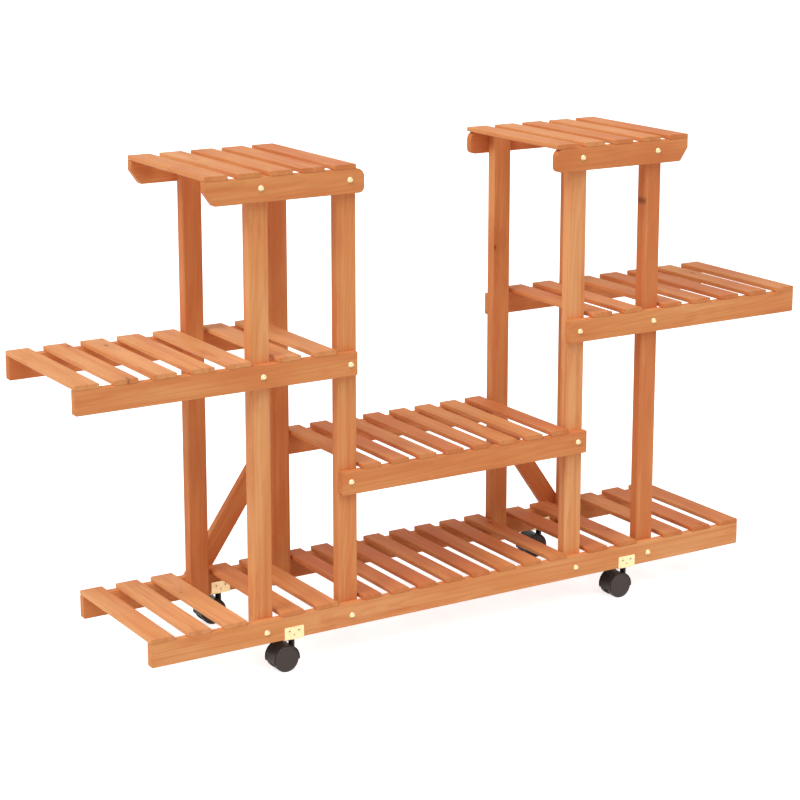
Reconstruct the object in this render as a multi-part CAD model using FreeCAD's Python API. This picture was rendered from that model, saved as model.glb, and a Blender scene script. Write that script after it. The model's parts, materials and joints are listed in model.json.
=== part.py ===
import FreeCAD, Part
import math
import os

from FreeCAD import Vector

# A long wooden flower cart on four swivel casters. Two towers of four posts carry shelves
# made of a front rail, a rear rail and a row of slats. All sizes are in millimetres.
# X runs along the cart to the right, Y from the front to the back and Z up.
# The origin is on the floor, under the middle of the cart's overall box.

# Timber sections; every long edge is eased by a small bevel
RAIL_HEIGHT = 36.0
RAIL_THICKNESS = 12.0
RAIL_EDGE_BEVEL = 0.8
RAIL_CORNER_RADIUS = 3.0
SLAT_THICKNESS = 7.0
SLAT_WIDTH = 37.0
CENTRE_SLAT_WIDTH = 31.0
SLAT_EDGE_BEVEL = 1.0
POST_WIDTH = 32.0
POST_DEPTH = 18.0
POST_EDGE_BEVEL = 1.2
BRACE_WIDTH = 32.0
BRACE_THICKNESS = 12.0
BRACE_EDGE_BEVEL = 0.8
BRACE_END_PAST_BOLT = 10.0

# Places of the posts and decks
DECK_DEPTH = 250.0
INNER_POST_X = 208.2
TOWER_POST_SPACING = 145.4
CASTER_HEIGHT = 48.0
CENTRE_DECK_TOP = 297.0
MID_DECK_TOP = 478.5
TOP_DECK_TOP = 750.0

# Slats and rail ends along the shelves
SLAT_PITCH = 59.1
BOTTOM_END_SLATS = 3
BOTTOM_GAP_BESIDE_POST = 16.8
MID_END_SLATS = 5
MID_GAP_BESIDE_POST = 3.1
LEFT_MID_RAIL_SHORT_OF_POST = 5.1
RIGHT_MID_FRONT_RAIL_PAST_POST = 3.9
RIGHT_MID_REAR_RAIL_SHORT_OF_POST = 3.9
CENTRE_SLATS = 8
CENTRE_GAP_BESIDE_POST = 4.2
TOP_SLATS = 5
LEFT_TOP_OUTER_OVERHANG = 73.4
LEFT_TOP_INNER_OVERHANG = 7.6
LEFT_TOP_BARE_RAIL = 13.8
RIGHT_TOP_OUTER_OVERHANG = 42.9
RIGHT_TOP_INNER_OVERHANG = 33.9

# Shaped ends of the top rails
NOSE_HEIGHT = 15.0
NOSE_SLANT = 14.8
NOSE_CORNER_RADIUS = 5.0
ROUND_END_TOP_RADIUS = 13.0
ROUND_END_BOTTOM_RADIUS = 9.0

# Domed bolts through the rails into blind holes in the posts
BOLT_HEAD_RADIUS = 5.0
BOLT_CROWN_RADIUS = 3.4
BOLT_HEAD_HEIGHT = 3.0
BOLT_RADIUS = 2.5
BOLT_DEPTH_IN_POST = 13.0
BOLT_HOLE_CLEARANCE = 0.1
BOLT_TIP_CLEARANCE = 1.0
BOTTOM_BOLT_DROP = 1.5
MID_BOLT_DROP = 0.8
CENTRE_BOLT_RISE = 1.0
TOP_BOLT_RISE = 1.7

# Angle plates that hold the casters, and their screws
PLATE_WIDTH = 32.5
PLATE_HEIGHT = 19.0
PLATE_REACH = 19.0
PLATE_THICKNESS = 1.5
PLATE_BEND_RADIUS = 0.5
PLATE_CORNER_RADIUS = 1.5
PLATE_INSET_FROM_POST = 44.6
SCREW_SPACING = 15.6
SCREW_HEIGHT = 12.5
SCREW_HEAD_RADIUS = 3.2
SCREW_RADIUS = 1.5
SCREW_LENGTH = 10.0
SCREW_CLEARANCE = 0.05
SPARE_HOLE_RADIUS = 1.2
SPARE_HOLE_HEIGHT = 6.0

# Twin-wheel casters
WHEEL_RADIUS = 20.0
WHEEL_WIDTH = 10.4
WHEEL_SHOULDER = 0.8
CASTER_TRAIL = 15.5
KINGPIN_SETBACK = 9.7
KINGPIN_RADIUS = 2.4
KINGPIN_HEAD_RADIUS = 3.6
KINGPIN_FOOT_ABOVE_AXLE = 6.0
NECK_RADIUS = 4.75
NECK_FOOT_ABOVE_AXLE = 4.0
NECK_GAP = 0.3
WEB_THICKNESS = 9.0
WEB_BOSS_RADIUS = 7.5
WHEEL_SIDE_GAP = 0.6
HOOD_GAP = 0.4
HOOD_WALL = 1.5
HOOD_SHORT_OF_WHEEL = 0.9
HOOD_FRONT_ANGLE = -8.0
HOOD_REAR_ANGLE = 197.0
AXLE_RADIUS = 2.0
AXLE_SHORT_OF_WHEEL = 2.0
RUNNING_FIT = 0.05

# Values that follow from the sizes above
UP = Vector(0, 0, 1)
BACK = Vector(0, 1, 0)
RIGHT = Vector(1, 0, 0)
outer_post_x = INNER_POST_X + TOWER_POST_SPACING
tower_middle_x = INNER_POST_X + TOWER_POST_SPACING / 2
outer_post_side = outer_post_x + POST_WIDTH / 2
inner_post_side = INNER_POST_X - POST_WIDTH / 2
bottom_deck_top = CASTER_HEIGHT + RAIL_HEIGHT + SLAT_THICKNESS
post_top = TOP_DECK_TOP - SLAT_THICKNESS
rail_middle_below_deck = SLAT_THICKNESS + RAIL_HEIGHT / 2
bottom_bolt_z = bottom_deck_top - rail_middle_below_deck - BOTTOM_BOLT_DROP
mid_bolt_z = MID_DECK_TOP - rail_middle_below_deck - MID_BOLT_DROP
centre_bolt_z = CENTRE_DECK_TOP - rail_middle_below_deck + CENTRE_BOLT_RISE
top_bolt_z = TOP_DECK_TOP - rail_middle_below_deck + TOP_BOLT_RISE
plate_x = outer_post_x - PLATE_INSET_FROM_POST
caster_half_width = WEB_THICKNESS / 2 + WHEEL_SIDE_GAP + WHEEL_WIDTH

# The front casters reach furthest forward and the brace bolts furthest back. The frame is
# shifted so that the origin lies midway between the two.
front_reach = DECK_DEPTH / 2 + PLATE_THICKNESS - KINGPIN_SETBACK + caster_half_width
rear_reach = DECK_DEPTH / 2 + BRACE_THICKNESS + BOLT_HEAD_HEIGHT
frame_middle_y = (front_reach - rear_reach) / 2
front_face = frame_middle_y - DECK_DEPTH / 2
rear_face = frame_middle_y + DECK_DEPTH / 2


def save(name, solids):
    """Write one node; identical pieces share a node as separate solids."""
    shape = solids[0] if len(solids) == 1 else Part.makeCompound(solids)
    shape.exportStep("parts/" + name + ".step")


def block(x_low, x_high, y_low, y_high, z_low, z_high):
    """A plain block between two corners."""
    return Part.makeBox(x_high - x_low, y_high - y_low, z_high - z_low, Vector(x_low, y_low, z_low))


def edges_along(shape, direction):
    """The straight edges of a shape that run in one direction."""
    straight = [edge for edge in shape.Edges if isinstance(edge.Curve, Part.Line)]
    return [edge for edge in straight if abs(edge.tangentAt(edge.FirstParameter).dot(direction)) > 0.999]


def eased(shape, direction, bevel):
    """Bevel the edges that run in one direction."""
    return shape.makeChamfer(bevel, edges_along(shape, direction))


def outline_face(corners):
    """A face in the XZ plane from (x, z, corner radius) corners, rounded by tangent arcs."""
    edges = []
    ends = []
    count = len(corners)
    for index, (x, z, radius) in enumerate(corners):
        corner = Vector(x, 0, z)
        before = Vector(corners[index - 1][0], 0, corners[index - 1][1]) - corner
        after = Vector(corners[(index + 1) % count][0], 0, corners[(index + 1) % count][1]) - corner
        before.normalize()
        after.normalize()
        half_angle = before.getAngle(after) / 2
        cut_back = radius / math.tan(half_angle)
        middle = before + after
        middle.normalize()
        arc_middle = corner + middle * (radius / math.sin(half_angle) - radius)
        ends.append((corner + before * cut_back, arc_middle, corner + after * cut_back))
    for index, (arc_start, arc_middle, arc_end) in enumerate(ends):
        if corners[index][2] > 0:
            edges.append(Part.Arc(arc_start, arc_middle, arc_end).toShape())
        edges.append(Part.LineSegment(arc_end, ends[(index + 1) % count][0]).toShape())
    return Part.Face(Part.Wire(edges))


def lathe(profile):
    """Turn a closed (radius, height) profile about Z."""
    points = [Vector(radius, 0, height) for radius, height in profile]
    return Part.Face(Part.makePolygon(points + points[:1])).revolve(Vector(0, 0, 0), UP, 360)


def aim(shape, direction, place):
    """Turn a piece whose top points up so that it points in a direction, and put it in place."""
    turned = shape.copy()
    turned.Placement = FreeCAD.Placement(place, FreeCAD.Rotation(UP, direction))
    return turned


def bolt_hole(x, z, face_y, inward, depth):
    """The hole for a bolt that enters at a face and runs inward."""
    return Part.makeCylinder(BOLT_RADIUS + BOLT_HOLE_CLEARANCE, depth, Vector(x, face_y, z), inward)


def bolt(grip):
    """A bolt whose raised head sits on a face at Z = 0; its shank runs down through the grip."""
    length = grip + BOLT_DEPTH_IN_POST
    return lathe([
        (0, -length),
        (BOLT_RADIUS, -length),
        (BOLT_RADIUS, 0),
        (BOLT_HEAD_RADIUS, 0),
        (BOLT_CROWN_RADIUS, BOLT_HEAD_HEIGHT),
        (0, BOLT_HEAD_HEIGHT),
    ])


def rail(outline, posts, bolt_z, is_front):
    """One rail from its outline, with eased long edges and a bolt hole at each post."""
    y_low = front_face if is_front else rear_face - RAIL_THICKNESS
    face = outline_face(outline)
    face.translate(Vector(0, y_low, 0))
    box = face.BoundBox
    board = block(box.XMin, box.XMax, y_low, y_low + RAIL_THICKNESS, box.ZMin, box.ZMax)
    shape = eased(board, RIGHT, RAIL_EDGE_BEVEL).common(face.extrude(BACK * RAIL_THICKNESS))
    for post_x in posts:
        shape = shape.cut(bolt_hole(post_x, bolt_z, y_low, BACK, RAIL_THICKNESS))
    if bolt_z == bottom_bolt_z:
        for screw_x in screw_places(-1) + screw_places(1):
            shape = shape.cut(screw_hole(screw_x, y_low - PLATE_THICKNESS))
    return shape.Solids[0]


def plain_outline(x_low, x_high, deck_top):
    """A straight rail with small rounded corners at its lower edge."""
    top = deck_top - SLAT_THICKNESS
    bottom = top - RAIL_HEIGHT
    return [
        (x_low, bottom, RAIL_CORNER_RADIUS),
        (x_high, bottom, RAIL_CORNER_RADIUS),
        (x_high, top, 0),
        (x_low, top, 0),
    ]


def top_outline(outer_x, inner_x):
    """A top rail: its outer end is a slanted nose and its inner end is rounded."""
    top = post_top
    bottom = top - RAIL_HEIGHT
    inward = math.copysign(1, inner_x - outer_x)
    return [
        (outer_x, top, 0),
        (outer_x, top - NOSE_HEIGHT, 0),
        (outer_x + inward * NOSE_SLANT, bottom, NOSE_CORNER_RADIUS),
        (inner_x, bottom, ROUND_END_BOTTOM_RADIUS),
        (inner_x, top, ROUND_END_TOP_RADIUS),
    ]


def slats(left_edges, width, deck_top):
    """A row of slats that lie across both rails, flush with the rails' outer faces."""
    row = []
    for left_edge in left_edges:
        right_edge = left_edge + width
        slat = block(left_edge, right_edge, front_face, rear_face, deck_top - SLAT_THICKNESS, deck_top)
        row.append(eased(slat, BACK, SLAT_EDGE_BEVEL))
    return row


def mirrored_edges(left_edges, width):
    """The left edges of the same slats on the other side of the cart."""
    return [-left_edge - width for left_edge in reversed(left_edges)]


def post(x, is_front, bolt_heights):
    """A post behind its rails, with a blind bolt hole at each rail that crosses it."""
    outer_y = front_face + RAIL_THICKNESS if is_front else rear_face - RAIL_THICKNESS
    inward = BACK if is_front else -BACK
    y_low = min(outer_y, outer_y + inward.y * POST_DEPTH)
    x_low = x - POST_WIDTH / 2
    shape = block(x_low, x_low + POST_WIDTH, y_low, y_low + POST_DEPTH, CASTER_HEIGHT, post_top)
    shape = eased(shape, UP, POST_EDGE_BEVEL)
    for height in bolt_heights:
        shape = shape.cut(bolt_hole(x, height, outer_y, inward, BOLT_DEPTH_IN_POST + BOLT_TIP_CLEARANCE))
    return shape.Solids[0]


def brace(side):
    """A slanted brace on the back of the rear rails, from the bottom rail to the centre rail."""
    foot = Vector(side * outer_post_x, rear_face, bottom_bolt_z)
    head = Vector(side * INNER_POST_X, rear_face, centre_bolt_z)
    run = head - foot
    half_length = run.Length / 2 + BRACE_END_PAST_BOLT
    board = block(-half_length, half_length, 0, BRACE_THICKNESS, -BRACE_WIDTH / 2, BRACE_WIDTH / 2)
    board = eased(board, RIGHT, BRACE_EDGE_BEVEL)
    board.Placement = FreeCAD.Placement((foot + head) * 0.5, FreeCAD.Rotation(RIGHT, run))
    for crossing in (foot, head):
        board = board.cut(bolt_hole(crossing.x, crossing.z, rear_face, BACK, BRACE_THICKNESS))
    return board.Solids[0]


def plate(side, is_front):
    """An angle plate: one leg lies on the rail's front side and the other under the rail."""
    rail_y = front_face if is_front else rear_face - RAIL_THICKNESS
    outer_y = rail_y - PLATE_THICKNESS
    x_low = side * plate_x - PLATE_WIDTH / 2
    x_high = x_low + PLATE_WIDTH
    low = CASTER_HEIGHT - PLATE_THICKNESS
    high = CASTER_HEIGHT + PLATE_HEIGHT
    stock = block(x_low, x_high, outer_y, outer_y + PLATE_REACH, low, high)
    hollow = block(x_low, x_high, rail_y, outer_y + PLATE_REACH, CASTER_HEIGHT, high)
    shape = stock.cut(hollow)
    bends = edges_along(shape, RIGHT)
    inner_bend = [edge for edge in bends if near(edge, rail_y, CASTER_HEIGHT)]
    shape = shape.makeFillet(PLATE_BEND_RADIUS, inner_bend)
    outer_bend = [edge for edge in edges_along(shape, RIGHT) if near(edge, outer_y, low)]
    shape = shape.makeFillet(PLATE_BEND_RADIUS + PLATE_THICKNESS, outer_bend)
    top_corners = [edge for edge in edges_along(shape, BACK) if edge.CenterOfMass.z > high - 0.1]
    rear_edge = outer_y + PLATE_REACH
    back_corners = [edge for edge in edges_along(shape, UP) if edge.CenterOfMass.y > rear_edge - 0.1]
    shape = shape.makeFillet(PLATE_CORNER_RADIUS, top_corners + back_corners)
    for screw_x in screw_places(side):
        shape = shape.cut(screw_hole(screw_x, outer_y))
    spare_place = Vector(side * plate_x, outer_y, CASTER_HEIGHT + SPARE_HOLE_HEIGHT)
    shape = shape.cut(Part.makeCylinder(SPARE_HOLE_RADIUS, PLATE_THICKNESS, spare_place, BACK))
    pin_place = Vector(side * plate_x, outer_y + KINGPIN_SETBACK, CASTER_HEIGHT)
    shape = shape.cut(aim(kingpin(RUNNING_FIT), UP, pin_place))
    return shape.Solids[0]


def near(edge, y, z):
    """Whether an edge along X lies at a place."""
    return abs(edge.CenterOfMass.y - y) < 0.01 and abs(edge.CenterOfMass.z - z) < 0.01


def screw_places(side):
    """X of the two screws of one plate."""
    return [side * plate_x - SCREW_SPACING / 2, side * plate_x + SCREW_SPACING / 2]


def screw(clearance):
    """A countersunk screw whose flat head top is at Z = 0; with a clearance it is its own hole."""
    return lathe([
        (0, -SCREW_LENGTH - clearance),
        (SCREW_RADIUS + clearance, -SCREW_LENGTH - clearance),
        (SCREW_RADIUS + clearance, -PLATE_THICKNESS),
        (SCREW_HEAD_RADIUS + clearance, 0),
        (0, 0),
    ])


def screw_place(x, plate_face):
    """The middle of a screw's head, on the face of its plate."""
    return Vector(x, plate_face, CASTER_HEIGHT + SCREW_HEIGHT)


def screw_hole(x, plate_face):
    """The countersunk hole for a plate screw."""
    return aim(screw(SCREW_CLEARANCE), -BACK, screw_place(x, plate_face))


def kingpin(clearance):
    """A riveted swivel pin, its head flush with the top of the plate at Z = 0."""
    axle_down = CASTER_HEIGHT - WHEEL_RADIUS
    length = axle_down - KINGPIN_FOOT_ABOVE_AXLE + clearance
    return lathe([
        (0, -length),
        (KINGPIN_RADIUS + clearance, -length),
        (KINGPIN_RADIUS + clearance, -PLATE_THICKNESS),
        (KINGPIN_HEAD_RADIUS + clearance, 0),
        (0, 0),
    ])


def caster_housing():
    """Hood, web and neck in one moulding; the axle runs along Y through the local origin."""
    inner = WHEEL_RADIUS + HOOD_GAP
    half_width = caster_half_width - HOOD_SHORT_OF_WHEEL
    sweep = HOOD_REAR_ANGLE - HOOD_FRONT_ANGLE
    hood_corners = [
        Vector(inner, -half_width, 0),
        Vector(inner, half_width, 0),
        Vector(inner + HOOD_WALL, half_width, 0),
        Vector(inner + HOOD_WALL, -half_width, 0),
        Vector(inner, -half_width, 0),
    ]
    hood_profile = Part.Face(Part.makePolygon(hood_corners))
    hood_profile.rotate(Vector(0, 0, 0), -BACK, HOOD_FRONT_ANGLE)
    hood = hood_profile.revolve(Vector(0, 0, 0), -BACK, sweep)
    web_start = Vector(0, -WEB_THICKNESS / 2, 0)
    web = Part.makeCylinder(inner + HOOD_WALL / 2, WEB_THICKNESS, web_start, BACK, sweep)
    web.rotate(Vector(0, 0, 0), -BACK, web_turn(web))
    boss = Part.makeCylinder(WEB_BOSS_RADIUS, WEB_THICKNESS, web_start, BACK)
    neck_top = CASTER_HEIGHT - PLATE_THICKNESS - NECK_GAP - WHEEL_RADIUS
    neck_foot = Vector(CASTER_TRAIL, 0, NECK_FOOT_ABOVE_AXLE)
    neck = Part.makeCylinder(NECK_RADIUS, neck_top - NECK_FOOT_ABOVE_AXLE, neck_foot, UP)
    shape = hood.fuse([web, boss, neck]).removeSplitter()
    shape = shape.cut(kingpin_bore(neck_top))
    shape = shape.cut(Part.makeCylinder(AXLE_RADIUS + RUNNING_FIT / 2, WEB_THICKNESS, web_start, BACK))
    return shape.Solids[0]


def web_turn(web):
    """Turn that brings a sector made about Y onto the hood's angles."""
    middle = web.CenterOfMass
    wanted = (HOOD_FRONT_ANGLE + HOOD_REAR_ANGLE) / 2
    return wanted - math.degrees(math.atan2(middle.z, middle.x))


def kingpin_bore(neck_top):
    """The blind bore in the neck that turns on the kingpin."""
    foot = Vector(CASTER_TRAIL, 0, KINGPIN_FOOT_ABOVE_AXLE - 2 * NECK_GAP)
    return Part.makeCylinder(KINGPIN_RADIUS + RUNNING_FIT, neck_top - foot.z, foot, UP)


def wheel():
    """One wheel of a pair: inner face at Z = 0, bevelled shoulder, blind hub bore from below."""
    bore = AXLE_RADIUS + RUNNING_FIT
    bore_top = WHEEL_WIDTH - AXLE_SHORT_OF_WHEEL + NECK_GAP
    return lathe([
        (0, bore_top),
        (bore, bore_top),
        (bore, 0),
        (WHEEL_RADIUS, 0),
        (WHEEL_RADIUS, WHEEL_WIDTH - WHEEL_SHOULDER),
        (WHEEL_RADIUS - WHEEL_SHOULDER, WHEEL_WIDTH),
        (0, WHEEL_WIDTH),
    ])


def make_rails():
    """The front and rear rail of every shelf, each with the posts that it is bolted to."""
    all_posts = [-outer_post_x, -INNER_POST_X, INNER_POST_X, outer_post_x]
    bottom_end = outer_post_side + BOTTOM_GAP_BESIDE_POST + (BOTTOM_END_SLATS - 1) * SLAT_PITCH + SLAT_WIDTH
    mid_end = outer_post_side + MID_GAP_BESIDE_POST + (MID_END_SLATS - 1) * SLAT_PITCH + SLAT_WIDTH
    centre_end = INNER_POST_X + POST_WIDTH / 2
    left_mid_inner = -inner_post_side - LEFT_MID_RAIL_SHORT_OF_POST
    right_mid_front = inner_post_side - RIGHT_MID_FRONT_RAIL_PAST_POST
    right_mid_rear = inner_post_side + RIGHT_MID_REAR_RAIL_SHORT_OF_POST
    bottom = plain_outline(-bottom_end, bottom_end, bottom_deck_top)
    left_mid = plain_outline(-mid_end, left_mid_inner, MID_DECK_TOP)
    centre = plain_outline(-centre_end, centre_end, CENTRE_DECK_TOP)
    left_top = top_outline(left_top_ends()[0], left_top_ends()[1])
    right_top = top_outline(right_top_ends()[1], right_top_ends()[0])
    for is_front, row_name in ((True, "_front_rail"), (False, "_rear_rail")):
        right_mid = plain_outline(right_mid_front if is_front else right_mid_rear, mid_end, MID_DECK_TOP)
        save("bottom" + row_name, [rail(bottom, all_posts, bottom_bolt_z, is_front)])
        save("left_mid" + row_name, [rail(left_mid, all_posts[:2], mid_bolt_z, is_front)])
        save("right_mid" + row_name, [rail(right_mid, all_posts[2:], mid_bolt_z, is_front)])
        save("centre" + row_name, [rail(centre, all_posts[1:3], centre_bolt_z, is_front)])
        save("left_top" + row_name, [rail(left_top, all_posts[:2], top_bolt_z, is_front)])
        save("right_top" + row_name, [rail(right_top, all_posts[2:], top_bolt_z, is_front)])


def left_top_ends():
    """Left and right end of the left top rails."""
    return [-outer_post_side - LEFT_TOP_OUTER_OVERHANG, -inner_post_side + LEFT_TOP_INNER_OVERHANG]


def right_top_ends():
    """Left and right end of the right top rails."""
    return [inner_post_side - RIGHT_TOP_INNER_OVERHANG, outer_post_side + RIGHT_TOP_OUTER_OVERHANG]


def make_slats():
    """All decks. Each deck's slats are one row, or one row on each side of the posts."""
    bottom_ends = []
    for index in range(BOTTOM_END_SLATS):
        bottom_ends.append(outer_post_side + BOTTOM_GAP_BESIDE_POST + index * SLAT_PITCH)
    tower_pair = []
    for index in range(2):
        tower_pair.append(tower_middle_x - (SLAT_PITCH + SLAT_WIDTH) / 2 + index * SLAT_PITCH)
    mid_ends = []
    for index in range(MID_END_SLATS):
        mid_ends.append(outer_post_side + MID_GAP_BESIDE_POST + index * SLAT_PITCH)
    centre_end = inner_post_side - CENTRE_GAP_BESIDE_POST
    centre_row = even_row(-centre_end, centre_end, CENTRE_SLAT_WIDTH, CENTRE_SLATS)
    last_left_top_end = left_top_ends()[1] - LEFT_TOP_BARE_RAIL
    left_top_row = even_row(left_top_ends()[0], last_left_top_end, SLAT_WIDTH, TOP_SLATS)
    right_top_row = even_row(right_top_ends()[0], right_top_ends()[1], SLAT_WIDTH, TOP_SLATS)
    left_bottom_ends = mirrored_edges(bottom_ends, SLAT_WIDTH)
    left_tower_pair = mirrored_edges(tower_pair, SLAT_WIDTH)
    left_mid_row = mirrored_edges(tower_pair + mid_ends, SLAT_WIDTH)
    save("right_bottom_slats", slats(bottom_ends, SLAT_WIDTH, bottom_deck_top))
    save("right_tower_bottom_slats", slats(tower_pair, SLAT_WIDTH, bottom_deck_top))
    save("right_mid_slats", slats(tower_pair + mid_ends, SLAT_WIDTH, MID_DECK_TOP))
    save("left_bottom_slats", slats(left_bottom_ends, SLAT_WIDTH, bottom_deck_top))
    save("left_tower_bottom_slats", slats(left_tower_pair, SLAT_WIDTH, bottom_deck_top))
    save("left_mid_slats", slats(left_mid_row, SLAT_WIDTH, MID_DECK_TOP))
    save("centre_bottom_slats", slats(centre_row, CENTRE_SLAT_WIDTH, bottom_deck_top))
    save("centre_slats", slats(centre_row, CENTRE_SLAT_WIDTH, CENTRE_DECK_TOP))
    save("left_top_slats", slats(left_top_row, SLAT_WIDTH, TOP_DECK_TOP))
    save("right_top_slats", slats(right_top_row, SLAT_WIDTH, TOP_DECK_TOP))


def even_row(row_start, row_end, width, count):
    """The left edges of a row of slats that fills a length evenly."""
    pitch = (row_end - row_start - width) / (count - 1)
    return [row_start + index * pitch for index in range(count)]


def make_posts():
    """Eight posts: four to each tower, two in front and two behind."""
    outer_heights = [bottom_bolt_z, mid_bolt_z, top_bolt_z]
    inner_heights = [bottom_bolt_z, centre_bolt_z, mid_bolt_z, top_bolt_z]
    for side, side_name in ((-1, "left"), (1, "right")):
        for is_front, row_name in ((True, "front"), (False, "rear")):
            outer = post(side * outer_post_x, is_front, outer_heights)
            inner = post(side * INNER_POST_X, is_front, inner_heights)
            save(side_name + "_outer_" + row_name + "_post", [outer])
            save(side_name + "_inner_" + row_name + "_post", [inner])


def make_bolts():
    """Bolts at every crossing of a rail and a post; two on each side also hold a brace."""
    front_bolts = []
    rear_bolts = []
    crossings = []
    for side in (-1, 1):
        for bolt_z in (bottom_bolt_z, mid_bolt_z, top_bolt_z):
            crossings.append((side * outer_post_x, bolt_z, bolt_z == bottom_bolt_z))
            crossings.append((side * INNER_POST_X, bolt_z, False))
        crossings.append((side * INNER_POST_X, centre_bolt_z, True))
    for x, z, has_brace in crossings:
        front_bolts.append(aim(bolt(RAIL_THICKNESS), -BACK, Vector(x, front_face, z)))
        cover = BRACE_THICKNESS if has_brace else 0
        rear_bolts.append(aim(bolt(RAIL_THICKNESS + cover), BACK, Vector(x, rear_face + cover, z)))
    save("front_bolts", front_bolts)
    save("rear_bolts", rear_bolts)


def make_casters():
    """Four plates with their screws and kingpins, and four casters that all trail to the left."""
    screws = []
    kingpins = []
    axle_length = 2 * (caster_half_width - AXLE_SHORT_OF_WHEEL)
    for side, side_name in ((-1, "left"), (1, "right")):
        for is_front, row_name in ((True, "front"), (False, "rear")):
            place = side_name + "_" + row_name
            plate_face = (front_face if is_front else rear_face - RAIL_THICKNESS) - PLATE_THICKNESS
            pin_y = plate_face + KINGPIN_SETBACK
            save(place + "_plate", [plate(side, is_front)])
            for screw_x in screw_places(side):
                screws.append(aim(screw(0), -BACK, screw_place(screw_x, plate_face)))
            kingpins.append(aim(kingpin(0), UP, Vector(side * plate_x, pin_y, CASTER_HEIGHT)))
            axle_centre = Vector(side * plate_x - CASTER_TRAIL, pin_y, WHEEL_RADIUS)
            save(place + "_caster_housing", [aim(caster_housing(), UP, axle_centre)])
            axle_start = axle_centre - BACK * (axle_length / 2)
            save(place + "_caster_axle", [Part.makeCylinder(AXLE_RADIUS, axle_length, axle_start, BACK)])
            inner_face = BACK * (WEB_THICKNESS / 2 + WHEEL_SIDE_GAP)
            save(place + "_caster_front_wheel", [aim(wheel(), -BACK, axle_centre - inner_face)])
            save(place + "_caster_rear_wheel", [aim(wheel(), BACK, axle_centre + inner_face)])
    save("plate_screws", screws)
    save("kingpins", kingpins)


os.makedirs("parts", exist_ok=True)
make_rails()
make_slats()
make_posts()
save("left_brace", [brace(-1)])
save("right_brace", [brace(1)])
make_bolts()
make_casters()
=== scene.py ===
import json
import math

import bmesh
import bpy
from mathutils import Matrix, Vector

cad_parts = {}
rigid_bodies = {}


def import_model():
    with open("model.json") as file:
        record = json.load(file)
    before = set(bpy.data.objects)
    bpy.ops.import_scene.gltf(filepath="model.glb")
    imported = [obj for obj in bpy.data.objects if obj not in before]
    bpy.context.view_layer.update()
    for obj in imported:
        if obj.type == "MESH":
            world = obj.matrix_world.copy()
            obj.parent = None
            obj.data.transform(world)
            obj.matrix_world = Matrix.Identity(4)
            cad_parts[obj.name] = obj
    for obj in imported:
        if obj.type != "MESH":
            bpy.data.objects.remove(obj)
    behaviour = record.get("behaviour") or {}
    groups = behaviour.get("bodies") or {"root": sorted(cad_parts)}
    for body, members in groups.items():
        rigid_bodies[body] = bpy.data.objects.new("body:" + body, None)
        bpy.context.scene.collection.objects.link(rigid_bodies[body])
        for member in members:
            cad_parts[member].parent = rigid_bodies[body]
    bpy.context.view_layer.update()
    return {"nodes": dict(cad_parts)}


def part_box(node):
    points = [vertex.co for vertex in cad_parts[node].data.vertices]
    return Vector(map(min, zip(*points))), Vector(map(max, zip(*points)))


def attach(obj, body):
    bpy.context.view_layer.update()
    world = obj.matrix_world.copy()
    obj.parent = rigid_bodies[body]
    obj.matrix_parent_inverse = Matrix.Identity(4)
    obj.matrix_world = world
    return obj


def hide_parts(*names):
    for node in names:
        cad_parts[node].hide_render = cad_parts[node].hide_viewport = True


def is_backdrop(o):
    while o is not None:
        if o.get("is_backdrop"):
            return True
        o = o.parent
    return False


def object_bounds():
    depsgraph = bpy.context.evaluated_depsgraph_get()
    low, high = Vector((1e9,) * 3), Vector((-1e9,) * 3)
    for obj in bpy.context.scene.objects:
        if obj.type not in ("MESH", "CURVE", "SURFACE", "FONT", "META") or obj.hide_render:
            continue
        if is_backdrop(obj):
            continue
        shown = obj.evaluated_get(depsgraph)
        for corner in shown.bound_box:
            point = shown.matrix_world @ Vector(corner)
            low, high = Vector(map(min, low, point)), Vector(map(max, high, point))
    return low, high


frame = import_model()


# The rails. Planed fir boards 36 x 12 mm, stained orange brown and varnished thinly. They stand on
# edge in front of and behind the posts, carry the slats and are bolted to every post they cross.
# Their grain runs along the cart, and each board has its own rings, tone and knots; the rear rails are
# also made redder and darker as painted shade.
RIGHT = Vector((1, 0, 0))
BACK = Vector((0, 1, 0))
UP = Vector((0, 0, 1))
RAIL_REDNESS = {
    "bottom": 0.30,
    "left_mid": 0.48,
    "right_mid": 0.25,
    "centre": 0.42,
    "left_top": 0.45,
    "right_top": 0.85,
}
# Extra redness for the rear rails, which makes them redder and darker: painted shade.
REAR_SHADE_REDNESS = 0.42
EARLY_WOOD = (0.790, 0.318, 0.110, 1)
PALE_WOOD = (0.860, 0.405, 0.165, 1)
RED_WOOD = (0.690, 0.215, 0.072, 1)
LATE_WOOD = (0.520, 0.145, 0.044, 1)
KNOT_WOOD = (0.150, 0.038, 0.014, 1)
# Paler colour for eased edges: partly worn stain, partly a painted highlight.
WORN_AND_HIGHLIT_WOOD = (0.860, 0.440, 0.190, 1)
RING_WIDTH = 0.0026
KNOT_SHARE = 0.72
ONE_BOARD = 10.0
FIBRES_PER_METRE = (14.0, 900.0, 900.0)
STREAKS_PER_METRE = (2.4, 120.0, 120.0)
STAINS_PER_METRE = (9.0, 40.0, 40.0)
CLOUDS_PER_METRE = (6.0, 24.0, 24.0)
BENDS_PER_METRE = (3.2, 20.0, 20.0)
KNOTS_PER_METRE = (4.2, 10.0, 0.0)
RING_BEND = 0.011
RING_SWIRL = 0.006
RING_DARKNESS = 0.17
FIBRE_DARKNESS = 0.22
SWIRL_DARKNESS = 0.30
KNOT_DARKNESS = 0.80
END_DARKNESS = 0.16
WOOD_ROUGHNESS = 0.46
WOOD_GLOSS = 0.12
WOOD_EDGE_RADIUS = 0.0015
# How much the edges are paled, partly as wear and partly as a painted highlight, and how fine the
# patches are.
WOOD_WEAR_AND_HIGHLIGHT = 0.45
WOOD_EDGE_GRAINS = 90.0


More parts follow.
